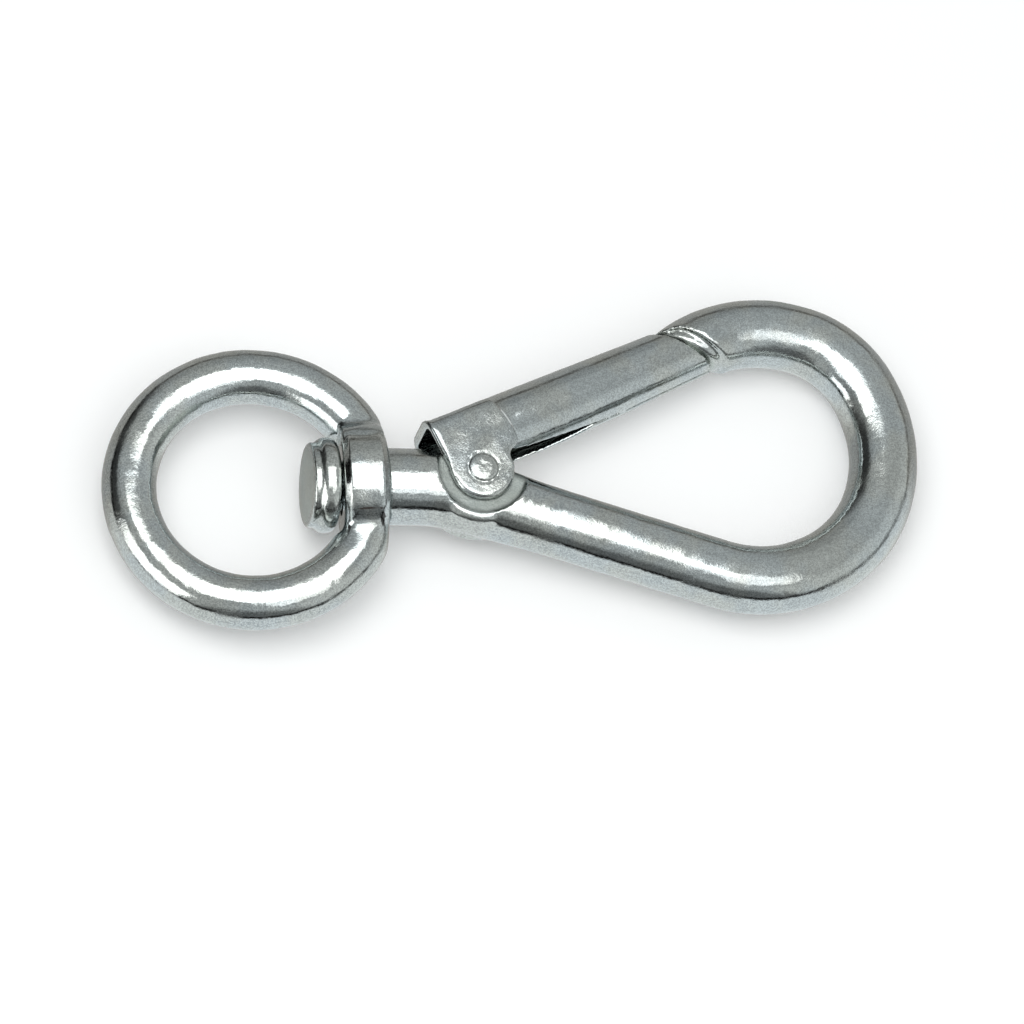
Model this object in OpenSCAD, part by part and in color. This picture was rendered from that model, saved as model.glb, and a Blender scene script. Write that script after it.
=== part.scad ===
// Swivel snap hook: a forged round-bar hook whose stem turns in a bored eye ring,
// closed by a sprung sheet-steel gate on a rivet.
//
// It lies as it comes to rest on a flat surface at z = 0: on the collar of the eye and on
// the far end of the loop. X runs from the eye to the loop, Y from the leg to the gate,
// and the origin is under the middle of the whole object.
//
// The hook is drawn in its own frame: its origin is where the shank's axis meets the middle
// of the collar, X runs along the shank and Z is square to the plane of the loop. The eye
// has a frame of its own at the same point, with X along the collar's bore.
// The gate's frame has its origin at the rivet, X along the gate and Y away from the leg.

/* [Eye ring] */
// Diameter of the eye's round bar
eye_bar_d = 7.9; // [6.4:0.1:9]
// Clear width inside the eye
eye_inside = 27.5; // [26:0.2:36]
// Outside diameter of the collar that the hook turns in
collar_d = 16.6; // [15.6:0.1:20]
// Length of the collar along its bore
collar_len = 6.6; // [5.4:0.1:8]
// Chamfer round both ends of the collar
collar_chamfer = 1; // [0.4:0.1:1.4]
// Angle by which the loose eye droops below level as the hook lies
eye_dip = 4.5; // [0:0.1:6]

/* [Shank] */
// Diameter of the shank between the collar and the rivet
shank_d = 11.2; // [10:0.1:12]
// Diameter of the neck that runs through the collar
neck_d = 7.2; // [5.6:0.1:7.6]
// Diameter of the upset head that holds the neck in the collar
head_d = 13.9; // [12:0.1:14]
// Length of the upset head
head_len = 4; // [3:0.1:4.6]
// Chamfer round the end of the head
head_chamfer = 1.1; // [0.5:0.1:1.6]
// Distance along the shank from the collar to where the leg turns off
knuckle_x = 11.6; // [10.5:0.1:15]

/* [Loop] */
// Diameter of the hook's round bar
bar_d = 10; // [8.4:0.1:10.8]
// Mean radius of the loop's centre line
loop_r = 19; // [17.5:0.1:22]
// Distance along the shank from the collar to the centre of the loop's first bend
loop_x = 57.8; // [54:0.1:66]
// Height of the centre of the loop's first bend above the shank's axis
loop_y = 6.4; // [4.5:0.1:8]
// Length over which the leg tapers from the shank to the bar
leg_taper = 14; // [5:0.5:18]
// Half thickness of the flat-sided tongue under the gate's tip
tongue_half = 2.9; // [2:0.1:3]

/* [Rivet and seat] */
// Distance along the shank from the collar to the rivet
pivot_x = 16.8; // [15.5:0.1:18.5]
// Height of the rivet above the shank's axis
pivot_y = 1.1; // [0.4:0.1:1.6]
// Diameter of the rivet's shank
rivet_d = 3.2; // [2.4:0.1:3.6]
// Diameter of the rivet's heads
rivet_head_d = 4.5; // [4.2:0.1:5.4]
// Height of the rivet's heads
rivet_head_h = 0.6; // [0.4:0.05:0.9]
// Diameter of the flat seats pressed into both sides of the hook
seat_d = 13.4; // [12.6:0.1:14]
// Thickness of the hook between its two seats
seat_thick = 7.7; // [7:0.1:8]
// Diameter of the lug that fills the gate's hinge end
lug_d = 11.8; // [10.5:0.1:12.2]
// Distance from the rivet to the flat on the lug where the spring bears
lug_flat = 4.6; // [4:0.1:5.2]

/* [Gate] */
// Angle between the closed gate and the shank
gate_angle = 23; // [21.5:0.1:24.5]
// Thickness of the gate's sheet
sheet_t = 1.05; // [0.8:0.05:1.2]
// Diameter of the gate's rolled part at the hinge end
gate_d = 9.8; // [9.4:0.1:10]
// Diameter of the gate's rolled part at the tip
gate_tip_d = 9; // [8.6:0.1:9.8]
// Distance from the rivet to the gate's outer side
gate_top = 10.6; // [10:0.1:11]
// Amount by which the flat-sided hinge end lies below the rolled part
gate_step = 0.9; // [0.3:0.1:1.2]
// Distance from the rivet to the start of the gate's rolled part
gate_flat_len = 7; // [6:0.1:9]
// Distance from the rivet to the gate's tip on its outer side
gate_len = 35.2; // [33:0.1:36]
// Slant of the gate's tip from square
gate_slant = 33; // [28:0.5:36]
// Distance from the rivet down to the open edge of the gate's flat sides
gate_edge = 1.9; // [1.4:0.1:2.4]
// Diameter of the ears that the rivet passes through
ear_d = 9.3; // [8.6:0.1:10]
// Width of the gate's open slot at the hinge end
slot_wide = 6.6; // [5:0.1:7]
// Width of the gate's open slot at the tip
slot_narrow = 1.8; // [1:0.1:3]

/* [Gate spring] */
// Thickness of the leaf spring
leaf_t = 0.45; // [0.3:0.05:0.6]
// Width of the leaf spring
leaf_w = 4; // [3:0.1:4.6]

/* [Clearances] */
// Gap left round the neck in the drooping collar
neck_gap = 0.25; // [0.15:0.05:0.5]
// Gap left between the collar and the faces at both ends of the neck
end_gap = 0.15; // [0.1:0.05:0.4]
// Gap round the rivet in its holes
rivet_gap = 0.05; // [0.02:0.01:0.1]
// Gap on each side of an ear
side_gap = 0.1; // [0.05:0.01:0.2]
// Gap between the gate's tip and the nose
nose_gap = 0.4; // [0.3:0.05:0.8]
// Gap between the tongue and the inside of the gate's roll
tongue_gap = 0.25; // [0.15:0.05:0.5]
// Gap between the leaf spring and what it lies on
leaf_gap = 0.05; // [0.03:0.01:0.1]

/* [Hidden] */
$fn = 80;

eye_bar_r = eye_bar_d / 2;
eye_r = eye_inside / 2 + eye_bar_r;
collar_r = collar_d / 2;
shank_r = shank_d / 2;
neck_r = neck_d / 2;
head_r = head_d / 2;
bar_r = bar_d / 2;
rivet_r = rivet_d / 2;
rivet_head_r = rivet_head_d / 2;
seat_r = seat_d / 2;
lug_r = lug_d / 2;
gate_r = gate_d / 2;
gate_tip_r = gate_tip_d / 2;
ear_r = ear_d / 2;

// The loop is a chain of four bends, each running smoothly into the next: their radii and
// how far each one turns. The bar thins a hair towards the nose, where a bend laps the next.
bend_r = [for (k = [1.06, 1.17, 0.774, 1.043]) round(100 * k * loop_r) / 100];
bend_sweep = [90, 45, 45, 64];
bend_lap = [0, 1, 1, 0];
bend_bar_r = [bar_r, bar_r, bar_r - 0.02, bar_r - 0.04];

// The leg runs into the loop's first bend as a tangent.
leg_dx = loop_x - knuckle_x;
leg_span = sqrt(leg_dx * leg_dx + loop_y * loop_y);
leg_angle = atan2(loop_y, leg_dx) - asin(bend_r[0] / leg_span);
leg_len = sqrt(leg_span * leg_span - bend_r[0] * bend_r[0]);
shank_overrun = shank_r * tan(-leg_angle);

// Centres of the bends that reach farthest from the eye and highest.
bend_c1 = [loop_x, loop_y];
bend_c2 = bend_c1 + (bend_r[0] - bend_r[1]) * toward(leg_angle);
bend_c3 = bend_c2 + (bend_r[1] - bend_r[2]) * toward(leg_angle + bend_sweep[1]);
bend_c4 = bend_c3 + (bend_r[2] - bend_r[3])
                    * toward(leg_angle + bend_sweep[1] + bend_sweep[2]);
loop_end = bend_c2[0] + bend_r[1];
loop_top = bend_c4[1] + bend_r[3];

// How it lies: the collar's lower corner and the loop's far end both touch z = 0.
axis_z = collar_r * cos(eye_dip) + (collar_len / 2 - collar_chamfer) * sin(eye_dip);
hook_dip = asin((axis_z - bar_r) / loop_end);
neck_tilt = eye_dip + hook_dip;

// The eye: its bar's centre line runs just outside the middle of the collar.
eye_shift = 1.6;
eye_x = eye_shift - eye_r;
eye_reach = eye_r - eye_x;
bore_r = neck_r / cos(neck_tilt) + collar_len / 2 * tan(neck_tilt) + neck_gap;
bore_chamfer = 0.4;
head_room_r = head_r + 0.7;
face_fall = 0.6;

// The neck is as long as the drooping collar needs.
head_x = -(collar_len / 2 * cos(neck_tilt) + head_r * sin(neck_tilt) + end_gap);
shoulder_x = collar_len / 2 * cos(neck_tilt) + shank_r * sin(neck_tilt) + end_gap;
shoulder_chamfer = 0.5;

// The gate, in its own frame.
ear_in = seat_thick / 2 + side_gap;
ear_out = ear_in + sheet_t;
web_top = gate_top - gate_step;
corner_r = 2.2;
fold_steps = 6;
tip_drop = gate_tip_d * tan(gate_slant);
ear_fillet = 1.2;
roll_lap = 0.6;
roll_start = gate_flat_len - roll_lap;
roll_len = gate_len + tip_drop - roll_start;
roll_tilt = atan((gate_r - gate_tip_r) / roll_len);

// The nose's slanted shoulder, and the tongue that stands out of it. The tongue lies inside
// the gate's tip, and reaches down to the nose's underside beyond the tip.
nose_slant = 41;
shoulder_top = gate_len + nose_gap;
tongue_start = gate_len + 3.1;
tongue_room_r = gate_tip_r - sheet_t - tongue_gap;
tongue_floor = gate_top - gate_tip_r
               - sqrt(max(0, pow(tongue_room_r, 2) - pow(tongue_half, 2)));
tongue_step = gate_len + tip_drop + nose_gap;
cut_reach = 14;

// The leaf spring, in the gate's frame.
leaf_y0 = lug_flat + leaf_gap;
leaf_sag = gate_tip_r - sheet_t - sqrt(pow(gate_tip_r - sheet_t, 2) - pow(leaf_w / 2, 2));
leaf_y1 = gate_top - sheet_t - leaf_sag - leaf_t - leaf_gap;
leaf_s = [-3.4, 4.6, 11, 20];

// Middle of the outline, to put the origin under it.
x_low = -eye_reach * cos(eye_dip) - eye_bar_r;
x_high = loop_end * cos(hook_dip) + bar_r;
y_low = min(-eye_r - eye_bar_r, loop_y - bend_r[0] - bar_r);
y_high = loop_top + bar_r;
x_mid = (x_low + x_high) / 2;
y_mid = (y_low + y_high) / 2;

steel = [0.66, 0.68, 0.69];
sheet = [0.62, 0.65, 0.66];
dark_steel = [0.42, 0.44, 0.46];

function toward(angle) = [cos(angle), sin(angle)];
function turn_points(centre, r, a0, a1) =
    [for (i = [0:fold_steps]) centre + r * toward(a0 + (a1 - a0) * i / fold_steps)];

// Puts the hook's frame where the hook lies.
module in_hook() {
    translate([-x_mid, -y_mid, axis_z]) rotate([0, hook_dip, 0]) children();
}

// Puts the eye's frame where the eye lies.
module in_eye() {
    translate([-x_mid, -y_mid, axis_z]) rotate([0, -eye_dip, 0]) children();
}

// Puts the closed gate's frame at the rivet.
module in_gate() {
    in_hook() at_gate() children();
}

module at_gate() {
    translate([pivot_x, pivot_y, 0]) rotate([0, 0, gate_angle]) children();
}

// A profile drawn as [distance along X, radius], turned round the X axis.
module turned_x(profile) {
    rotate([0, 90, 0]) rotate_extrude() polygon([for (p = profile) [p[1], p[0]]]);
}

// Upset head, neck and shank, turned as one.
module stem() {
    face_x = head_x - head_len;
    turned_x([
        [face_x, 0],
        [face_x, head_r - head_chamfer],
        [face_x + head_chamfer, head_r],
        [head_x, head_r],
        [head_x, neck_r],
        [shoulder_x, neck_r],
        [shoulder_x, shank_r - shoulder_chamfer],
        [shoulder_x + shoulder_chamfer, shank_r],
        [knuckle_x + shank_overrun, shank_r],
        [knuckle_x + shank_overrun, 0]
    ]);
}

// Leg and loop: each bend starts where the one before it ends.
module leg_and_loop() {
    translate([knuckle_x, 0, 0]) rotate([0, 0, leg_angle]) {
        turned_x([[0, 0], [0, shank_r], [leg_taper, bar_r], [leg_len, bar_r], [leg_len, 0]]);
        translate([leg_len, bend_r[0], 0]) rotate([0, 0, -90]) bends_from(0);
    }
}

module bends_from(i) {
    rotate_extrude(angle = bend_sweep[i] + bend_lap[i])
        translate([bend_r[i], 0]) circle(bend_bar_r[i]);
    if (i < 3) rotate([0, 0, bend_sweep[i]]) translate([bend_r[i] - bend_r[i + 1], 0, 0])
        bends_from(i + 1);
}

// What is cut away to form the nose: all that lies on the gate's side of its slanted
// shoulder, except the tongue that stands out of it.
module nose_cut() {
    y_up = gate_top + cut_reach;
    y_down = gate_top - cut_reach;
    at_gate() difference() {
        linear_extrude(4 * bar_d, center = true) polygon([
            [shoulder_top - cut_reach * tan(nose_slant), y_up],
            [shoulder_top + cut_reach * tan(nose_slant), y_down],
            [shoulder_top - cut_reach, y_down],
            [shoulder_top - 2 * cut_reach, y_up]
        ]);
        linear_extrude(2 * tongue_half, center = true) polygon([
            [tongue_start, gate_top],
            [tongue_start, tongue_floor],
            [tongue_step, tongue_floor],
            [tongue_step, y_down],
            [tongue_start + cut_reach, y_down],
            [tongue_start + cut_reach, gate_top]
        ]);
    }
}

// Lug between the gate's ears.
module lug() {
    translate([pivot_x, pivot_y, 0]) cylinder(r = lug_r, h = seat_thick, center = true);
}

// Flat that the leaf spring presses on, which also clears the gate's hinge end.
module lug_flat_cut() {
    at_gate() translate([-lug_r, lug_flat, -shank_d]) cube([lug_d, lug_r, 2 * shank_d]);
}

module hook_body() {
    seat_cut = shank_r;
    color(steel) in_hook() difference() {
        union() {
            stem();
            leg_and_loop();
            lug();
        }
        nose_cut();
        lug_flat_cut();
        for (side = [0, 180]) translate([pivot_x, pivot_y, 0]) rotate([side, 0, 0])
            translate([0, 0, seat_thick / 2]) cylinder(r = seat_r, h = seat_cut);
        translate([pivot_x, pivot_y, 0])
            cylinder(r = rivet_r + rivet_gap, h = 2 * shank_d, center = true);
    }
}

module eye_ring() {
    half = collar_len / 2;
    bore_cut = collar_len;
    color(steel) in_eye() difference() {
        union() {
            translate([eye_x, 0, 0]) rotate_extrude() translate([eye_r, 0]) circle(eye_bar_r);
            turned_x([
                [-half, 0],
                [-half, collar_r - collar_chamfer],
                [-half + collar_chamfer, collar_r],
                [half - collar_chamfer, collar_r],
                [half, collar_r - collar_chamfer],
                [half, 0]
            ]);
        }
        // Flat face towards the shank, falling away outside the collar.
        turned_x([[half, 0], [half, collar_r - collar_chamfer], [half - face_fall, eye_r],
                  [half + eye_bar_d, eye_r], [half + eye_bar_d, 0]]);
        // Room for the head inside the eye.
        turned_x([[-half - eye_bar_d, 0], [-half - eye_bar_d, head_room_r],
                  [-half, head_room_r], [-half, 0]]);
        // Bore, opened out at both ends.
        turned_x([
            [-half - bore_cut, 0],
            [-half - bore_cut, bore_r + bore_chamfer + bore_cut],
            [-half + bore_chamfer, bore_r],
            [half - bore_chamfer, bore_r],
            [half + bore_cut, bore_r + bore_chamfer + bore_cut],
            [half + bore_cut, 0]
        ]);
    }
}

// Channel section of the gate's flat-sided hinge end: [across, away from the leg].
module channel_section() {
    c = ear_out - corner_r;
    top = web_top - corner_r;
    inner_r = corner_r - sheet_t;
    polygon(concat(
        [[ear_in, gate_edge], [ear_out, gate_edge]],
        turn_points([c, top], corner_r, 0, 90),
        turn_points([-c, top], corner_r, 90, 180),
        [[-ear_out, gate_edge], [-ear_in, gate_edge]],
        turn_points([-c, top], inner_r, 180, 90),
        turn_points([c, top], inner_r, 90, 0)
    ));
}

// One ear, cut flat from the sheet.
module ear_outline() {
    circle(ear_r);
    translate([-ear_r, 0]) square([ear_d, gate_edge + 1]);
    difference() {
        translate([ear_r, gate_edge - ear_fillet]) square([ear_fillet, ear_fillet + 0.5]);
        translate([ear_r + ear_fillet, gate_edge - ear_fillet]) circle(ear_fillet);
    }
}

// Tapered roll whose outer side is straight and level.
module roll_cone(thinner) {
    translate([roll_start, gate_top - gate_r, 0]) rotate([0, 90, roll_tilt])
        cylinder(r1 = gate_r - thinner, r2 = gate_tip_r - thinner, h = roll_len);
}

module gate_roll() {
    slot_end = roll_start + roll_len + 1;
    difference() {
        roll_cone(0);
        roll_cone(sheet_t);
        // Slot towards the leg, narrowing to the tip.
        translate([0, gate_top - gate_r, 0]) rotate([90, 0, 0]) linear_extrude(gate_d) polygon([
            [roll_start - 1, -slot_wide / 2],
            [slot_end, -slot_narrow / 2],
            [slot_end, slot_narrow / 2],
            [roll_start - 1, slot_wide / 2]
        ]);
        // Slanted tip.
        linear_extrude(2 * gate_d, center = true) polygon([
            [gate_len - tan(gate_slant), gate_top + 1],
            [gate_len + tip_drop + tan(gate_slant), gate_top - gate_tip_d - 1],
            [gate_len + tip_drop + gate_d, gate_top - gate_tip_d - 1],
            [gate_len + tip_drop + gate_d, gate_top + 1]
        ]);
    }
}

module gate() {
    color(sheet) in_gate() difference() {
        union() {
            translate([-ear_r, 0, 0]) rotate([0, 90, 0])
                linear_extrude(ear_r + gate_flat_len) channel_section();
            for (side = [0, 1]) mirror([0, 0, side])
                translate([0, 0, ear_in]) linear_extrude(sheet_t) ear_outline();
            gate_roll();
        }
        cylinder(r = rivet_r + rivet_gap, h = 4 * ear_out, center = true);
    }
}

module gate_rivet() {
    under = ear_out + side_gap / 2;
    dome = rivet_head_h / 2;
    color(steel) in_hook() translate([pivot_x, pivot_y, 0]) rotate_extrude() polygon([
        [0, -under - rivet_head_h],
        [rivet_head_r - dome, -under - rivet_head_h],
        [rivet_head_r, -under - rivet_head_h + dome],
        [rivet_head_r, -under],
        [rivet_r, -under],
        [rivet_r, under],
        [rivet_head_r, under],
        [rivet_head_r, under + rivet_head_h - dome],
        [rivet_head_r - dome, under + rivet_head_h],
        [0, under + rivet_head_h]
    ]);
}

// Leaf spring: one end under the gate's outer side, the other on the lug's flat.
module gate_spring() {
    color(dark_steel) in_gate() linear_extrude(leaf_w, center = true) polygon([
        [leaf_s[0], leaf_y0],
        [leaf_s[1], leaf_y0],
        [leaf_s[2], leaf_y1],
        [leaf_s[3], leaf_y1],
        [leaf_s[3], leaf_y1 + leaf_t],
        [leaf_s[2] - leaf_t / 2, leaf_y1 + leaf_t],
        [leaf_s[1] - leaf_t / 2, leaf_y0 + leaf_t],
        [leaf_s[0], leaf_y0 + leaf_t]
    ]);
}

hook_body();
eye_ring();
gate();
gate_rivet();
gate_spring();
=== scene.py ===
import math

import bpy
from mathutils import Matrix, Vector


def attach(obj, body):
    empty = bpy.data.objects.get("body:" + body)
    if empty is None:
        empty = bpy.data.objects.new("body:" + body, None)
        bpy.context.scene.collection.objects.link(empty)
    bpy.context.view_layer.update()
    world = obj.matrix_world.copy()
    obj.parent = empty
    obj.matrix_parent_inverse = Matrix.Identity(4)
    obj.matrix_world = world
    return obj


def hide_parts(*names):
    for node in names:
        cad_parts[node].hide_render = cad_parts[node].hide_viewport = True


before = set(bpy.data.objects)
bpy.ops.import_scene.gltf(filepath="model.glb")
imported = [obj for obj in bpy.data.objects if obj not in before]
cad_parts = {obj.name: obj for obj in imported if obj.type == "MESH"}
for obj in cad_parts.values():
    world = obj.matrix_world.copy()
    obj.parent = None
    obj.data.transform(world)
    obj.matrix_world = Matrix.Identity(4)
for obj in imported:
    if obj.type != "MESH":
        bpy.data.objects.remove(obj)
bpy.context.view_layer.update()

SCENE = bpy.context.scene
MM = 0.001
QUARTER = math.radians(90)

# ---------------------------------------------------------------- where things are
# Sizes are in mm and angles in degrees.

GATE_ANGLE = 23             # the closed gate against the shank
LEG_ANGLE = -17.6954        # the hook's leg against the shank
COLLAR_LEAN = 7.037         # the drooping collar against the shank
PIVOT = (16.8, 1.1)         # the rivet, in the hook's frame
GATE_TOP = 10.95            # the gate's outer side, from the rivet
GATE_LEN = 35.2             # the gate's outer side up to its tip
TIP_RADIUS = 4.38           # the gate's roll where its tip begins
NOSE_MID = GATE_TOP - TIP_RADIUS    # the middle of the tip and of the nose inside it
SHEET = 1.05                # the gate's sheet
LUG_HALF = 3.85             # half the hook's thickness between its seats
BAR_RADIUS = 5.6            # the hook's bar at the shank

ORIGIN = Vector((-22.6583, -4.3933, 8.4549)) * MM
IN_HOOK = Matrix.Translation(ORIGIN) @ Matrix.Rotation(math.radians(2.53738), 4, "Y")
IN_EYE = Matrix.Translation(ORIGIN) @ Matrix.Rotation(math.radians(-4.5), 4, "Y")
IN_GATE = (IN_HOOK @ Matrix.Translation(Vector((*PIVOT, 0)) * MM)
           @ Matrix.Rotation(math.radians(GATE_ANGLE), 4, "Z"))


# ---------------------------------------------------------------- shader maths

class Socket:
    """A socket that can be used in a sum, so that shader maths reads as an expression."""

    def __init__(self, tree, out=None):
        self.tree = tree
        self.out = out

    def node(self, kind, settings=None, **values):
        """Adds a node with its settings, and its inputs by name or as i and a number."""
        made = self.tree.nodes.new(kind)
        for key, value in (settings or {}).items():
            setattr(made, key, value)
        for key, value in values.items():
            numbered = key[0] == "i" and key[1:].isdigit()
            socket = made.inputs[int(key[1:]) if numbered else key.replace("_", " ")]
            if isinstance(value, Socket):
                self.tree.links.new(value.out, socket)
            else:
                socket.default_value = value
        return made

    def get(self, kind, settings=None, out=0, **values):
        """Adds a node and gives one of its outputs."""
        made = self.node(kind, settings, **values)
        return Socket(self.tree, made.outputs[out])

    def into(self, socket):
        self.tree.links.new(self.out, socket)

    def maths(self, operation, a, b):
        return self.get("ShaderNodeMath", {"operation": operation}, i0=a, i1=b)

    def vector(self, operation, a, b=(0, 0, 0)):
        """Vector maths, of which a length or a dot product gives a plain number."""
        out = 1 if operation in ("LENGTH", "DOT_PRODUCT") else 0
        return self.get("ShaderNodeVectorMath", {"operation": operation}, out=out, i0=a, i1=b)

    def noise(self, coords, scale, detail=2.0, distortion=0.0, rise=0.55):
        return self.get("ShaderNodeTexNoise", {"noise_dimensions": "3D"}, Vector=coords,
                        Scale=scale, Detail=detail, Roughness=rise, Distortion=distortion)

    def __add__(self, other):
        return self.maths("ADD", self, other)

    def __radd__(self, other):
        return self.maths("ADD", other, self)

    def __sub__(self, other):
        return self.maths("SUBTRACT", self, other)

    def __rsub__(self, other):
        return self.maths("SUBTRACT", other, self)

    def __mul__(self, other):
        return self.maths("MULTIPLY", self, other)

    def __rmul__(self, other):
        return self.maths("MULTIPLY", other, self)

    def __truediv__(self, other):
        return self.maths("DIVIDE", self, other)

    def between(self, low, high):
        """0 below low, 1 above high, smooth between."""
        return self.get("ShaderNodeMapRange", {"interpolation_type": "SMOOTHSTEP"},
                        Value=self, From_Min=low, From_Max=high)

    def most(self, other):
        return self.maths("MAXIMUM", self, other)

    def mix(self, a, b):
        """Colour a where this is 0 and colour b where it is 1."""
        return self.get("ShaderNodeMix", {"data_type": "RGBA"}, out=2, i0=self, i6=a, i7=b)


def new_tree(owner, kind):
    """An empty node tree: a Socket to start from, and its output node."""
    owner.use_nodes = True
    tree = owner.node_tree
    tree.nodes.clear()
    return Socket(tree), tree.nodes.new(kind)


def new_material(name):
    material = bpy.data.materials.new(name)
    return (material, *new_tree(material, "ShaderNodeOutputMaterial"))


def own_axes(at, coords, matrix, count):
    """How far a point lies along a piece's own axes, in mm."""
    rows = matrix.inverted()
    return [(at.vector("DOT_PRODUCT", coords, tuple(row[:3])) + row[3]) / MM
            for row in rows[:count]]


# ---------------------------------------------------------------- zinc plating

ZINC = (0.452, 0.482, 0.480)
COLD = (0.985, 1.0, 1.01)
WARM = (1.02, 1.0, 0.96)
PIT_DARK = (0.12, 0.12, 0.11, 1)
FLAW_BLACK = (0.035, 0.032, 0.03, 1)
FLAW_BROWN = (0.10, 0.055, 0.045, 1)
# Painted highlight along the crease of the gate's flats.
CREASE_PAINTED_HIGHLIGHT = (0.95, 0.97, 0.97, 1)
FLAT_GREY = (0.49, 0.535, 0.50, 1)
# Painted shade in the seats, the recesses under the gate's ears.
SEAT_PAINTED_SHADE = (0.09, 0.105, 0.095, 1)


def tinted(tint, level):
    """The plating's colour, colder or warmer, at a level of lightness."""
    return (*(c * k * level for c, k in zip(ZINC, tint)), 1)


def flaws(at, coords, colour):
    """Two small dark forging flaws low on the collar's outer edge."""
    ragged = at.noise(coords, 1400.0, 3.0, rise=0.5) - 0.5
    # Each flaw: its middle and how it is stretched in the eye's frame, its reach, its colour.
    for point, stretch, reach, depth, dark in (
            ((2.15, -6.92, 4.58), (1.6, 0.62, 0.12), 0.75, 0.9, FLAW_BLACK),
            ((0.2, -5.92, 5.82), (0.17, 2.6, 0.12), 0.42, 0.75, FLAW_BROWN)):
        where = IN_EYE @ (Vector(point) * MM)
        gap = at.vector("MULTIPLY", at.vector("SUBTRACT", coords, tuple(where)), stretch)
        far = at.vector("LENGTH", gap) / (reach * MM) + ragged * 1.6
        colour = ((1.0 - far.between(0.45, 0.75)) * depth).mix(colour, dark)
    return colour


def crease_painted_highlight(at, coords, colour):
    """A painted highlight: a bright line along the crease of the gate's flats, standing in for
    the light that the crease's edge catches.
    """
    along, up = own_axes(at, coords, IN_GATE, 2)
    ragged = at.noise(coords, 900.0, 3.0, rise=0.5) - 0.5
    gap = along - 7.02 + (up - 3.2) * (up - 3.2) * 0.026 + ragged * 0.12
    reach = up.between(3.0, 3.6) * (1.0 - up.between(8.0, 8.8))
    # Painted highlight: the crease's bright line is painted into the colour.
    painted_glint = (1.0 - (gap * gap).between(0.006, 0.022)) * reach
    return (painted_glint * (ragged * 1.6 + 0.80)).mix(colour, CREASE_PAINTED_HIGHLIGHT)


def pressed_flats_and_seat_shade(at, coords):
    """Where the hook is matt from the press: its two seats, its head's end and its tongue. The
    seats, recessed under the gate's ears, also come back on their own for a speckled painted
    shade.
    """
    along, up, out = own_axes(at, coords, IN_HOOK, 3)
    x, y = along - PIVOT[0], up - PIVOT[1]
    seats = (1.0 - (x * x + y * y).between(41.0, 46.0)) * (1.0 - (out * out).between(16.5, 19.0))
    head = 1.0 - along.between(-8.40, -8.25)
    lean = math.radians(GATE_ANGLE)
    tip_x = x * math.cos(lean) + y * math.sin(lean)
    tip_y = y * math.cos(lean) - x * math.sin(lean) - NOSE_MID
    off_tongue = (tip_y * tip_y + out * out).between(13.5, 15.0)
    tongue = tip_x.between(33.0, 34.0) * (1.0 - off_tongue)
    return seats.most(head).most(tongue), seats


def zinc(name, dents=0.035, marks_and_highlights=None, matt=None):
    """Bright zinc plating on steel: crisp, finely grained and scuffed in patches."""
    material, at, output = new_material(name)
    coords = at.get("ShaderNodeTexCoord", out=3)
    cloud = at.noise(coords, 300.0, 3.0)
    tint = at.noise(coords, 150.0).between(0.38, 0.62)
    pits = at.noise(coords, 2500.0, 2.0, 0.4, 0.6)
    speck = at.noise(coords, 5200.0, 1.0)
    wave = at.noise(coords, 520.0)
    # Scuffed patches, where the plating is rougher and more speckled.
    scuff = at.noise(coords, 190.0, 4.0, 0.6).between(0.44, 0.62)
    deep = pits.between(0.64, 0.72) * (scuff * 0.75 + 0.25)
    shade = (cloud - 0.5) * 0.30 + (pits - 0.5) * 0.85 + (speck - 0.5) + 0.5
    dark = tint.mix(tinted(COLD, 0.76), tinted(WARM, 0.74))
    light = tint.mix(tinted(COLD, 1.20), tinted(WARM, 1.18))
    colour = shade.between(0.2, 0.8).mix(dark, light)
    colour = (deep * 0.45).mix(colour, PIT_DARK)
    # Marks painted on top: the collar's real forging flaws, and on the gate a painted highlight
    # along its crease.
    if marks_and_highlights:
        colour = marks_and_highlights(at, coords, colour)
    roughness = 0.10 + scuff * 0.10 + (speck - 0.5) * 0.06 + (cloud - 0.5) * 0.05
    if matt:
        where, seats = matt(at, coords)
        colour = (where * 0.5).mix(colour, FLAT_GREY)
        # Painted shade: the seats, recessed under the gate's ears, are darkened with a speckle.
        colour = (seats * (speck * 0.9)).mix(colour, SEAT_PAINTED_SHADE)
        roughness = roughness + where * 0.28
    height = ((pits - 0.5) * 0.016 + (speck - 0.5) * 0.009) * (scuff * 0.8 + 0.5)
    bump = at.get("ShaderNodeBump", Strength=1.0, Distance=MM,
                  Height=height + (wave - 0.5) * dents)
    metal = at.get("ShaderNodeBsdfPrincipled", Base_Color=colour, Roughness=roughness,
                   Normal=bump, Metallic=1.0)
    metal.into(output.inputs["Surface"])
    return material


# ---------------------------------------------------------------- floor, light and camera

def build_stage():
    bpy.ops.object.select_all(action="DESELECT")
    bpy.ops.mesh.primitive_plane_add(size=1.6, location=(0, 0, 0))
    floor = bpy.context.object
    floor.name = "floor"
    material, at, output = new_material("white_table")
    rays = at.node("ShaderNodeLightPath")
    camera_ray, glossy, through = (Socket(at.tree, rays.outputs[kind]) for kind in
                                   ("Is Camera Ray", "Is Glossy Ray", "Is Transmission Ray"))
    white = at.get("ShaderNodeBsdfDiffuse", Color=(0.80, 0.80, 0.80, 1))
    glow = at.get("ShaderNodeEmission", Color=(1, 1, 1, 1),
                  Strength=camera_ray * 0.18 + glossy.most(through) * 0.04)
    table = at.get("ShaderNodeAddShader", i0=white, i1=glow)
    # The metal also catches the soft edge of the light tent, which goes on below the table.
    clear = at.get("ShaderNodeBsdfTransparent")
    seen = at.get("ShaderNodeMixShader", i0=glossy * 0.75, i1=table, i2=clear)
    seen.into(output.inputs["Surface"])
    floor.data.materials.append(material)


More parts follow.
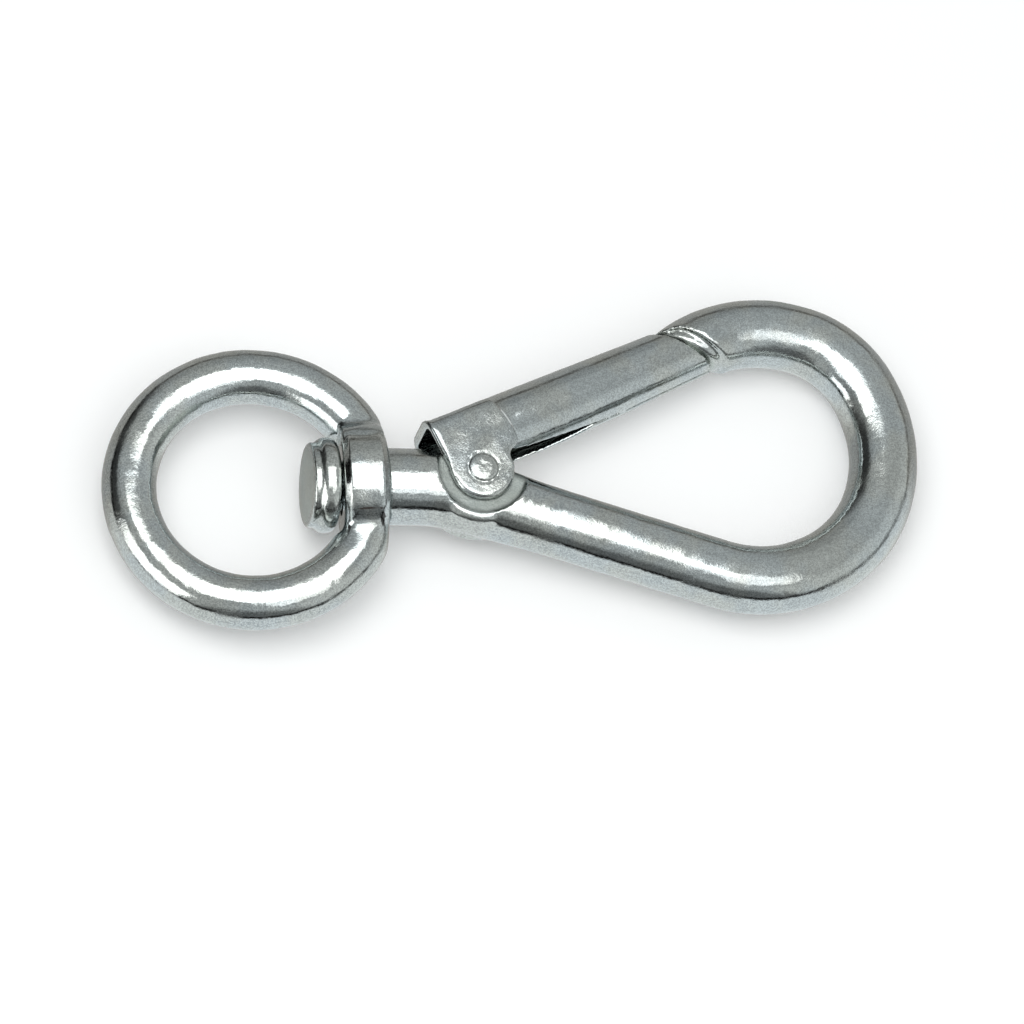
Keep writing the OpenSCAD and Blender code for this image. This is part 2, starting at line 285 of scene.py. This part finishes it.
def lamp(name, away, height, turn, size, strength, deep=None, at=(0, 0, 0)):
    """A soft rectangular lamp that faces a point, this far away, up and round it in degrees."""
    bpy.ops.object.light_add(type="AREA")
    light = bpy.context.object
    light.name = name
    up, side = math.radians(height), math.radians(turn)
    back = Vector((math.cos(up) * math.sin(side), -math.cos(up) * math.cos(side), math.sin(up)))
    light.location = (back * away + Vector(at)) * MM
    light.rotation_euler = back.to_track_quat("Z", "Y").to_euler()
    deep = deep or size
    light.data.shape = "RECTANGLE"
    light.data.size = size * MM
    light.data.size_y = deep * MM
    light.data.energy = strength * (size * deep * MM * MM) * math.pi
    light.visible_camera = False
    return light


def sheen(name, *where, **more):
    """A near white panel that the metal reflects and that leaves the table's light alone."""
    lamp(name, *where, **more).visible_diffuse = False


def build_light():
    world = bpy.data.worlds.new("studio")
    SCENE.world = world
    at, output = new_tree(world, "ShaderNodeOutputWorld")
    way = at.get("ShaderNodeTexCoord", out=0)
    split = at.node("ShaderNodeSeparateXYZ", Vector=way)
    x, y, z = (Socket(at.tree, split.outputs[k]) for k in range(3))
    # Sides of the tent that are darker or lighter: the way round, the cosines where the
    # side is full and gone, the heights where it fades out, and how much lighter it is.
    upper = 1.0
    for turn, full, gone, top, lighter in ((0, 0.92, 0.78, (0.60, 0.80), -0.70),
                                           (-95, 0.90, 0.50, (0.60, 0.80), -0.40),
                                           (-124, 0.92, 0.72, (0.42, 0.60), -0.84),
                                           (-165, 0.93, 0.60, (0.60, 0.80), -0.30),
                                           (60, 0.95, 0.35, (0.60, 0.80), 0.42)):
        side = math.radians(turn)
        towards = (x * math.sin(side) - y * math.cos(side)).between(gone, full)
        upper = upper * (1.0 + towards * (1.0 - z.between(*top)) * lighter)
    # The tent darkens towards its rim, least at the back right, and is brighter on top.
    darkest = (x * 0.62 + y * 0.78).between(-0.3, 0.6) * 0.34 + 0.03
    upper = upper * (darkest + (1.0 - darkest) * z.between(0.07, 0.17)) * 0.62
    upper = upper + z.between(0.84, 1.0) * 0.15
    lower = 1.15 - y.between(-0.05, 0.40) * 0.80
    level = lower + (upper - lower) * z.between(-0.09, -0.05)
    cool = z.between(-0.02, 0.0).mix((0.955, 1.0, 1.02, 1), (0.965, 1.0, 1.0, 1))
    low_behind = y.between(-0.1, 0.4) * (1.0 - z.between(0.0, 0.3))
    tone = low_behind.mix(cool, (1.03, 1.0, 0.94, 1))
    background = at.get("ShaderNodeBackground", Strength=level, Color=tone)
    background.into(output.inputs["Surface"])
    lamp("overhead_softbox", 800, 73, -85, 530, 3.4).visible_glossy = False
    lamp("right_softbox", 800, 62, 28, 400, 1.35)
    sheen("near_softbox", 167, 90, 0, 176, 2.6, deep=148, at=(-42, -14, 5))
    sheen("near_card", 112, 19, -63, 98, 2.4, deep=64, at=(-40, 0, 4))


def build_camera():
    # The world's axes as the camera sees them: to its right, up, and towards it.
    seen_z = Vector((0.168, 0.395, 0))
    seen_z.z = math.sqrt(1 - seen_z.x ** 2 - seen_z.y ** 2)
    turn = math.atan2(seen_z.x, seen_z.z)
    seen_x = Vector((math.cos(turn), 0, -math.sin(turn)))
    seen_y = seen_z.cross(seen_x)
    # The camera's own axes in the world.
    seen = Matrix((seen_x, seen_y, seen_z)).transposed()
    right, up, behind = Vector(seen[0]), Vector(seen[1]), Vector(seen[2])
    data = bpy.data.cameras.new("camera")
    data.sensor_width = 36
    data.lens = 363.73
    data.clip_start = 0.05
    data.clip_end = 20
    camera = bpy.data.objects.new("camera", data)
    SCENE.collection.objects.link(camera)
    target = Vector((0.03, -0.17, 4.99))
    away, lower, aside = 1500, 6.22, 0.05
    spot = (target + behind * away - up * lower + right * aside) * MM
    axes = Matrix((right, up, behind)).transposed()
    camera.matrix_world = Matrix.Translation(spot) @ axes.to_4x4()
    SCENE.camera = camera


# ---------------------------------------------------------------- modelling tools
# Pieces are drawn in millimetres in their own frame and put in place at the end.

def deselect():
    if bpy.context.object and bpy.context.object.mode != "OBJECT":
        bpy.ops.object.mode_set(mode="OBJECT")
    bpy.ops.object.select_all(action="DESELECT")


def only(obj):
    deselect()
    obj.select_set(True)
    bpy.context.view_layer.objects.active = obj


def apply_transform():
    """Puts the selected piece's place, turn and scale in its mesh."""
    bpy.ops.object.transform_apply(location=True, rotation=True, scale=True)
    return bpy.context.object


def settle(obj, turn=(0, 0, 0), at=(0, 0, 0)):
    """Turns a piece by these angles in radians and moves it, in its mesh."""
    only(obj)
    obj.rotation_euler = turn
    obj.location = at
    return apply_transform()


def upright(obj, at=(0, 0, 0)):
    """Stands a piece that was turned round X along Z."""
    return settle(obj, (0, -QUARTER, 0), at)


def finish_edit():
    bpy.ops.mesh.select_all(action="SELECT")
    bpy.ops.mesh.remove_doubles(threshold=0.0005)
    bpy.ops.mesh.normals_make_consistent(inside=False)
    bpy.ops.object.mode_set(mode="OBJECT")
    return bpy.context.object


def disc(x, radius, sides):
    """A filled circle square to X, open for editing with all of it selected."""
    deselect()
    bpy.ops.mesh.primitive_circle_add(vertices=sides, radius=radius, fill_type="NGON",
                                      location=(x, 0, 0), rotation=(0, QUARTER, 0))
    apply_transform()
    bpy.ops.object.mode_set(mode="EDIT")
    bpy.ops.mesh.select_all(action="SELECT")


def pull(move, grow=1.0, about=(0, 0, 0)):
    """Extrudes what is selected and grows the new end about a point."""
    bpy.ops.mesh.extrude_region_move(TRANSFORM_OT_translate={"value": move})
    if abs(grow - 1) > 1e-9:
        bpy.ops.transform.resize(value=(grow, grow, grow), center_override=about)


def turned(profile, sides=120):
    """A solid turned round X from [(distance along X, radius), ...]."""
    (x, r), rest = profile[0], profile[1:]
    disc(x, r, sides)
    for to_x, to_r in rest:
        pull((to_x - x, 0, 0), to_r / r, (to_x, 0, 0))
        x, r = to_x, to_r
    return finish_edit()


def plate(points, low, high, plane="XY"):
    """A flat plate cut to an outline, between two levels square to its plane."""
    deselect()
    bpy.ops.mesh.primitive_circle_add(vertices=len(points), radius=1, fill_type="NGON")
    obj = bpy.context.object
    for vertex, (a, b) in zip(obj.data.vertices, points):
        vertex.co = (a, b, low) if plane == "XY" else (low, b, a)
    bpy.ops.object.mode_set(mode="EDIT")
    bpy.ops.mesh.select_all(action="SELECT")
    pull((0, 0, high - low) if plane == "XY" else (high - low, 0, 0))
    return finish_edit()


def block(left, low, right, high, half=12):
    """A box between two corners in XY, as far above the middle plane as below it."""
    return plate([(left, low), (right, low), (right, high), (left, high)], -half, half)


def cylinder(radius, low, high, centre=(0, 0), sides=120):
    deselect()
    bpy.ops.mesh.primitive_cylinder_add(vertices=sides, radius=radius, depth=high - low,
                                        location=(*centre, (low + high) / 2))
    return apply_transform()


def torus(major, minor, segments, at):
    deselect()
    bpy.ops.mesh.primitive_torus_add(major_segments=segments[0], minor_segments=segments[1],
                                     major_radius=major, minor_radius=minor, location=at)
    return apply_transform()


def arc(centre, radius, start, end, steps):
    """Points round part of a circle, from one angle to another in degrees."""
    turns = [math.radians(start + number * (end - start) / steps) for number in range(steps + 1)]
    return [(centre[0] + radius * math.cos(turn), centre[1] + radius * math.sin(turn))
            for turn in turns]


def combine(obj, others, how):
    for other in others:
        only(obj)
        cut = obj.modifiers.new(how, "BOOLEAN")
        cut.operation = how
        cut.solver = "EXACT"
        cut.object = other
        bpy.ops.object.modifier_apply(modifier=cut.name)
        bpy.data.objects.remove(other, do_unlink=True)
    return obj


def weld(obj, grain):
    """Melts the parts of a piece into one even skin."""
    only(obj)
    skin = obj.modifiers.new("skin", "REMESH")
    skin.mode = "VOXEL"
    skin.voxel_size = grain
    skin.use_smooth_shade = True
    bpy.ops.object.modifier_apply(modifier=skin.name)


def soften(obj, times, where=None):
    """Rounds edges off, everywhere or as far as where(point) from 0 to 1 says."""
    only(obj)
    smooth = obj.modifiers.new("soften", "SMOOTH")
    smooth.factor = 0.5
    smooth.iterations = times
    if where:
        group = obj.vertex_groups.new(name="soften")
        for vertex in obj.data.vertices:
            weight = where(vertex.co)
            if weight > 0.01:
                group.add([vertex.index], min(1.0, weight), "REPLACE")
        smooth.vertex_group = group.name
    bpy.ops.object.modifier_apply(modifier=smooth.name)
    obj.vertex_groups.clear()


def uneven(obj, size, depth):
    """A forging's slight unevenness: bumps of this size and depth."""
    only(obj)
    texture = bpy.data.textures.new("forged", "CLOUDS")
    texture.noise_scale = size
    texture.noise_depth = 1
    press = obj.modifiers.new("uneven", "DISPLACE")
    press.texture = texture
    press.texture_coords = "LOCAL"
    press.strength = depth
    press.mid_level = 0.5
    bpy.ops.object.modifier_apply(modifier=press.name)


def near(point, reach):
    """A weight that is 1 at a point and fades to 0 at its reach."""
    spot = Vector(point)
    return lambda co: max(0.0, 1 - (co - spot).length / reach)


def place(obj, name, matrix, body, node, material):
    """Puts a finished piece where it lies, and lets it stand for its CAD node."""
    only(obj)
    obj.matrix_world = matrix @ Matrix.Scale(MM, 4)
    apply_transform()
    obj.name = name
    obj.data.name = name
    obj.data.materials.clear()
    obj.data.materials.append(material)
    bpy.ops.object.shade_smooth()
    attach(obj, body)
    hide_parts(node)


def at_gate(obj):
    """Moves a cutter that was drawn in the gate's frame to the hook's."""
    return settle(obj, (0, 0, math.radians(GATE_ANGLE)), (*PIVOT, 0))


# ---------------------------------------------------------------- hook

def hook_bar():
    """Shank, knee, tapering leg and the four bends of the loop, as one bar."""
    stem, shank, knee_at, knee = 2.2, 4.56, 11.6, 22.0
    disc(stem, BAR_RADIUS, 96)
    pull((shank - stem, 0, 0))
    half = math.radians(-LEG_ANGLE / 2)
    start = knee_at - knee * math.tan(half)
    pull((start - shank, 0, 0))
    bpy.ops.mesh.spin(steps=14, angle=2 * half, center=(start, -knee, 0), axis=(0, 0, 1))
    lean = math.radians(LEG_ANGLE)
    along = Vector((math.cos(lean), math.sin(lean), 0))
    knuckle = Vector((knee_at, 0, 0))
    gone, radius = knee * math.tan(half), BAR_RADIUS
    for upto, to_radius in ((8, 5.36), (11, 5.2), (14, 5.06), (17, 5.0), (25, 5.0), (33, 5.0),
                            (42.0688, 5.0)):
        pull(along * (upto - gone), to_radius / radius, knuckle + along * upto)
        gone, radius = upto, to_radius
    for steps, sweep, centre in ((72, 90, (57.8, 6.4)), (36, 45, (55.8089, 7.03527)),
                                 (32, 45, (62.491, 10.4848)), (52, 64, (60.9378, 5.61662))):
        bpy.ops.mesh.spin(steps=steps, angle=-math.radians(sweep), center=(*centre, 0),
                          axis=(0, 0, 1))
    return finish_edit()


def nose_cutters():
    """What the slanted shoulder cuts away, leaving a tongue inside the gate's tip."""
    cut = plate([(34.0, 14), (34.4, 11.0), (35.4, 10.3), (37.2, 9.8), (38.3, 9.15), (39.5, 7.5),
                 (40.75, 5.5), (41.8, 3.9), (42.65, 2.5), (43.6, 0.8), (46, -4), (20, -4),
                 (20, 14)], -12, 12)
    tongue = turned([(37.0, 2.5), (37.6, 3.05), (39.0, 3.08), (60, 3.08)], 96)
    settle(tongue, at=(0, NOSE_MID, 0))
    root = turned([(0.0, 3.1), (0.2, 3.6), (0.5, 3.88), (0.9, 4.0), (30, 4.05)], 96)
    # The bare root starts along the gate's slanted tip.
    for vertex in root.data.vertices:
        vertex.co.x += 34.8 + (TIP_RADIUS - vertex.co.y) * 0.74
        vertex.co.y += NOSE_MID
    return at_gate(combine(cut, [tongue, root], "DIFFERENCE"))


def seat_shoulders():
    """The metal that the press raised round both seats, only on the lower side."""
    half = [(7.25, 0.0), (7.55, 1.0), (7.95, 1.9), *arc((6.5, 2.5), 1.6, 0, 90, 9)]
    profile = [(-level, radius) for radius, level in reversed(half)]
    profile += [(level, radius) for radius, level in half[1:]]
    puck = upright(turned(profile, 144), (*PIVOT, 0))
    return combine(puck, [block(0, -1.2, 40, 20)], "DIFFERENCE")


def neck_shoulder():
    """What leaves the shank's end square to the drooping collar that it turns against."""
    lean = math.radians(COLLAR_LEAN)
    shoulder = cylinder(9, -3, 0)
    combine(shoulder, [cylinder(3.62, -4, 4)], "DIFFERENCE")
    return settle(shoulder, (0, QUARTER - lean, 0),
                  (3.42 * math.cos(lean), 0, 3.42 * math.sin(lean)))


def make_hook(material):
    body = hook_bar()
    # The neck with its upset head.
    head = turned([(-8.62, 0.8), (-8.60, 2.0), (-8.53, 3.4), (-8.42, 4.7), (-8.30, 5.55),
                   (-8.22, 5.95), (-8.05, 6.18), (-7.85, 6.22), (-7.62, 6.12), (-7.38, 6.1),
                   (-7.12, 6.32), (-6.75, 6.66), (-6.3, 6.88), (-5.6, 6.95), (-4.95, 6.86),
                   (-4.5, 6.6), (-4.28, 6.2), (-4.28, 3.6), (4.6, 3.6)])
    lug = cylinder(4.5, -LUG_HALF, LUG_HALF, PIVOT)
    combine(body, [head, lug, seat_shoulders()], "UNION")
    seats = [cylinder(6.7, low, high, PIVOT) for low, high in ((LUG_HALF, 9), (-9, -LUG_HALF))]
    flat = at_gate(block(-6, 4.6, 6, 10.6))
    combine(body, [nose_cutters(), flat, *seats, neck_shoulder()], "DIFFERENCE")
    weld(body, 0.265)

    def by_seat(co):
        far = math.hypot(co.x - PIVOT[0], co.y - PIVOT[1])
        return max(0.0, 1 - abs(far - 8.0) / 1.15) if abs(co.z) > 3.0 else 0.0

    turn = math.radians(GATE_ANGLE)

    def at_shoulder(co):
        x, y = co.x - PIVOT[0], co.y - PIVOT[1]
        along = x * math.cos(turn) + y * math.sin(turn)
        high = y * math.cos(turn) - x * math.sin(turn)
        off = abs(along - (38.3 + (9.15 - high) * 0.64))
        far = math.hypot(high - NOSE_MID, co.z)
        return max(0.0, 1 - off / 1.0) if far > 4.3 and 30 < along < 50 else 0.0

    soften(body, 3)
    soften(body, 14, by_seat)
    soften(body, 6, at_shoulder)
    uneven(body, 5.0, 0.10)
    uneven(body, 1.7, 0.03)
    place(body, "forged_hook", IN_HOOK, "hook", "hook_body", material)


# ---------------------------------------------------------------- eye

def make_eye(material):
    ring = torus(17.7, 3.95, (240, 72), (-16.1, 0, 0))
    collar = turned([(-3.3, 7.3), (-2.3, 8.3), (2.3, 8.3), (3.3, 7.3)])
    # The swelling where the ring runs into the collar's upper side.
    deselect()
    bpy.ops.mesh.primitive_uv_sphere_add(segments=96, ring_count=48, radius=1,
                                         location=(-0.3, 4.6, 0), scale=(9, 4.6, 6.5))
    root = apply_transform()
    deselect()
    bpy.ops.mesh.primitive_cube_add(size=1, location=(-0.1, 0, 0), scale=(6.2, 30, 30))
    slab = apply_transform()
    combine(root, [slab], "INTERSECT")
    combine(ring, [collar, root], "UNION")
    bore = turned([(-12, 7.65), (-3.3, 7.65), (-3.3, 4.75), (-2.9, 4.3), (2.9, 4.3),
                   (3.3, 4.75), (9, 6.5)])
    combine(ring, [bore], "DIFFERENCE")
    facing = turned([(3.3, 4.0), (3.3, 7.3), (2.7, 17.7), (12, 17.7), (12, 4.0)])
    combine(ring, [facing], "DIFFERENCE")
    weld(ring, 0.23)

    def at_roots(co):
        inward = min(1.0, max(0.0, (co.x + 3.0) / 0.8))
        return inward * max(0.0, 1 - abs(abs(co.y) - 9.0) / 3.0)

    def at_lower_root(co):
        inward = min(1.0, max(0.0, (co.x + 5.0) / 1.6))
        return inward * max(0.0, 1 - abs(co.y + 8.0) / 3.4)

    soften(ring, 3)
    soften(ring, 90, at_roots)
    soften(ring, 200, at_lower_root)
    uneven(ring, 5.0, 0.10)
    uneven(ring, 1.6, 0.035)
    place(ring, "eye_with_collar", IN_EYE, "eye", "eye_ring", material)


# ---------------------------------------------------------------- gate and its rivet

def channel(inset, edge):
    """Section of the gate's pressed end, this far inside its outer face, down to an edge."""
    half, top, corner = 5.12 - inset, 10.2 - inset, 2.3 - inset
    points = [(half, edge), *arc((half - corner, top - corner), corner, 0, 90, 8)]
    return points + [(-a, b) for a, b in reversed(points)]


def gate_tube(inset, low, high):
    """The gate's tapered roll, straight along its outer side."""
    widths = [(5.4, 5.08), (12, 5.03), (20, 4.88), (25, 4.76), (30, 4.58), (36, TIP_RADIUS),
              (42, 4.18)]

    def radius(along):
        along = max(widths[0][0], min(widths[-1][0], along))
        for (a, ra), (b, rb) in zip(widths, widths[1:]):
            if along <= b:
                return ra + (rb - ra) * (along - a) / (b - a)

    at = low
    disc(low, radius(low) - inset, 144)
    bpy.ops.transform.translate(value=(0, GATE_TOP - radius(low), 0))
    while at < high - 0.01:
        to = min(high, at + 1.5)
        drop = radius(at) - radius(to)
        pull((to - at, drop, 0), (radius(to) - inset) / (radius(at) - inset),
             (to, GATE_TOP - radius(to), 0))
        at = to
    return finish_edit()


def gate_channel():
    """The gate's folded end, whose last bit is bent open a little, like a lip."""
    outside = plate(channel(0, 1.9), -3.6, 7.0, "ZY")
    only(outside)
    bpy.ops.object.mode_set(mode="EDIT")
    bpy.ops.mesh.select_mode(type="FACE")
    bpy.ops.mesh.select_all(action="DESELECT")
    bpy.ops.object.mode_set(mode="OBJECT")
    for face in outside.data.polygons:
        if face.normal.x < -0.9:
            face.select = True
    bpy.ops.object.mode_set(mode="EDIT")
    for move, rise, narrow in ((-0.2, 1.015, 0.995), (-0.2, 1.015, 0.985),
                               (-0.2, 1.01, 0.972), (-0.15, 1.0, 0.965)):
        bpy.ops.mesh.extrude_region_move(TRANSFORM_OT_translate={"value": (move, 0, 0)})
        bpy.ops.transform.resize(value=(1, rise, narrow), center_override=(0, 3.0, 0))
    finish_edit()
    combine(outside, [plate(channel(SHEET, -6), -9, 7.4, "ZY")], "DIFFERENCE")
    # The pressed flats end in a slanting crease where the roll begins.
    crease = plate([(6.0, 9.6), (6.3, 8.2), (6.58, 6.46), (6.85, 5.15), (6.98, 3.39),
                    (7.05, 0), (9, 0), (9, 12), (5.9, 12)], -12, 12)
    return combine(outside, [crease], "DIFFERENCE")


def gate_roll():
    """The hollow roll with its slot and its slanted tip."""
    start, end = 5.4, GATE_LEN + 8.4 * math.tan(math.radians(33))
    tube = gate_tube(0, start, end)
    combine(tube, [gate_tube(SHEET, start - 1, end + 2)], "DIFFERENCE")
    # The leg comes up into the slot's wide end as the gate opens.
    slot = plate([(4, -2.7), (8, -2.25), (13, -1.5), (17, -0.5), (20, 0.6), (26, 0.2),
                  (46, 0.2), (46, 0.55), (26, 0.55), (20, 1.1), (14, 1.7), (8, 2.4),
                  (4, 3.2)], 0, 6)
    settle(slot, (QUARTER, 0, 0), (0, 6, 0))
    tip = plate([(33.6, 11.5), (33.9, 10.95), (34.7, 9.9), (36.2, 8.2), (37.9, 5.8),
                 (39.5, 3.96), (40.3, 2.86), (41.6, 1.0), (42.3, 0), (52, 0), (52, 11.5)],
                -10, 10)
    return combine(tube, [slot, tip], "DIFFERENCE")


def ear_bevel(side):
    """What rounds the outer edge of one ear, below its channel."""
    bevel = turned([(4.50 * side, 6.0), (5.3 * side, 6.0)], 144)
    cone = turned([(4.40 * side, 4.87), (5.4 * side, 3.95)], 144)
    upright(combine(bevel, [cone], "DIFFERENCE"))
    return combine(bevel, [block(-9, 0.4, 9, 9), block(3.6, -1.8, 9, 9)], "DIFFERENCE")


def make_gate(material):
    body = gate_channel()
    outline = arc((0, 0), 4.65, 180, 360, 40)
    outline.append((4.65, -0.3))
    outline += arc((6.45, -0.3), 1.8, 180, 90, 10)[1:]
    outline += [(6.45, 3.2), (-3.75, 5.2), (-3.95, 4.2), (-4.3, 2.6), (-4.6, 1.1)]
    roll = gate_roll()
    ears = [plate(outline, low, high) for low, high in ((4.0, 5.12), (-5.12, -4.0))]
    combine(body, [roll, *ears], "UNION")
    # The punch left the ears' outer edges rounded.
    combine(body, [ear_bevel(side) for side in (1, -1)], "DIFFERENCE")
    hole = cylinder(1.7, -8, 8)
    grooves = [torus(2.34, 0.19, (96, 24), (0, 0, level)) for level in (5.24, -5.24)]
    combine(body, [hole, *grooves], "DIFFERENCE")
    weld(body, 0.18)
    soften(body, 3)
    # The corner between each ear and the channel is well rounded.
    for level in (5.1, -5.1):
        soften(body, 40, near((5.7, 1.4, level), 2.7))
    uneven(body, 4.5, 0.09)
    uneven(body, 1.1, 0.02)
    place(body, "sheet_gate", IN_GATE, "gate", "gate", material)


def make_rivet(material):
    head = [(5.02, 1.6), (5.02, 2.18), (5.22, 2.18), (5.4, 2.05), (5.56, 1.75), (5.62, 1.2)]
    rivet = turned([(-x, radius) for x, radius in reversed(head)] + head, 96)
    upright(rivet, (*PIVOT, 0))
    weld(rivet, 0.12)
    soften(rivet, 3)
    uneven(rivet, 0.9, 0.05)
    place(rivet, "gate_pin", IN_HOOK, "hook", "gate_rivet", material)


build_camera()
build_stage()
build_light()
plating = zinc("bright_zinc")
# The hook's plating has matt flats and a painted shade in its seats.
make_hook(zinc("bright_zinc_with_matt_flats_and_painted_seat_shade", matt=pressed_flats_and_seat_shade))
make_eye(zinc("bright_zinc_with_flaws", marks_and_highlights=flaws))
# The gate's plating carries a painted highlight along its crease.
make_gate(zinc("bright_zinc_with_painted_crease_highlight", dents=0.018, marks_and_highlights=crease_painted_highlight))
make_rivet(plating)
for spring_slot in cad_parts["gate_spring"].material_slots:
    spring_slot.material = plating

SCENE.view_settings.view_transform = "Standard"
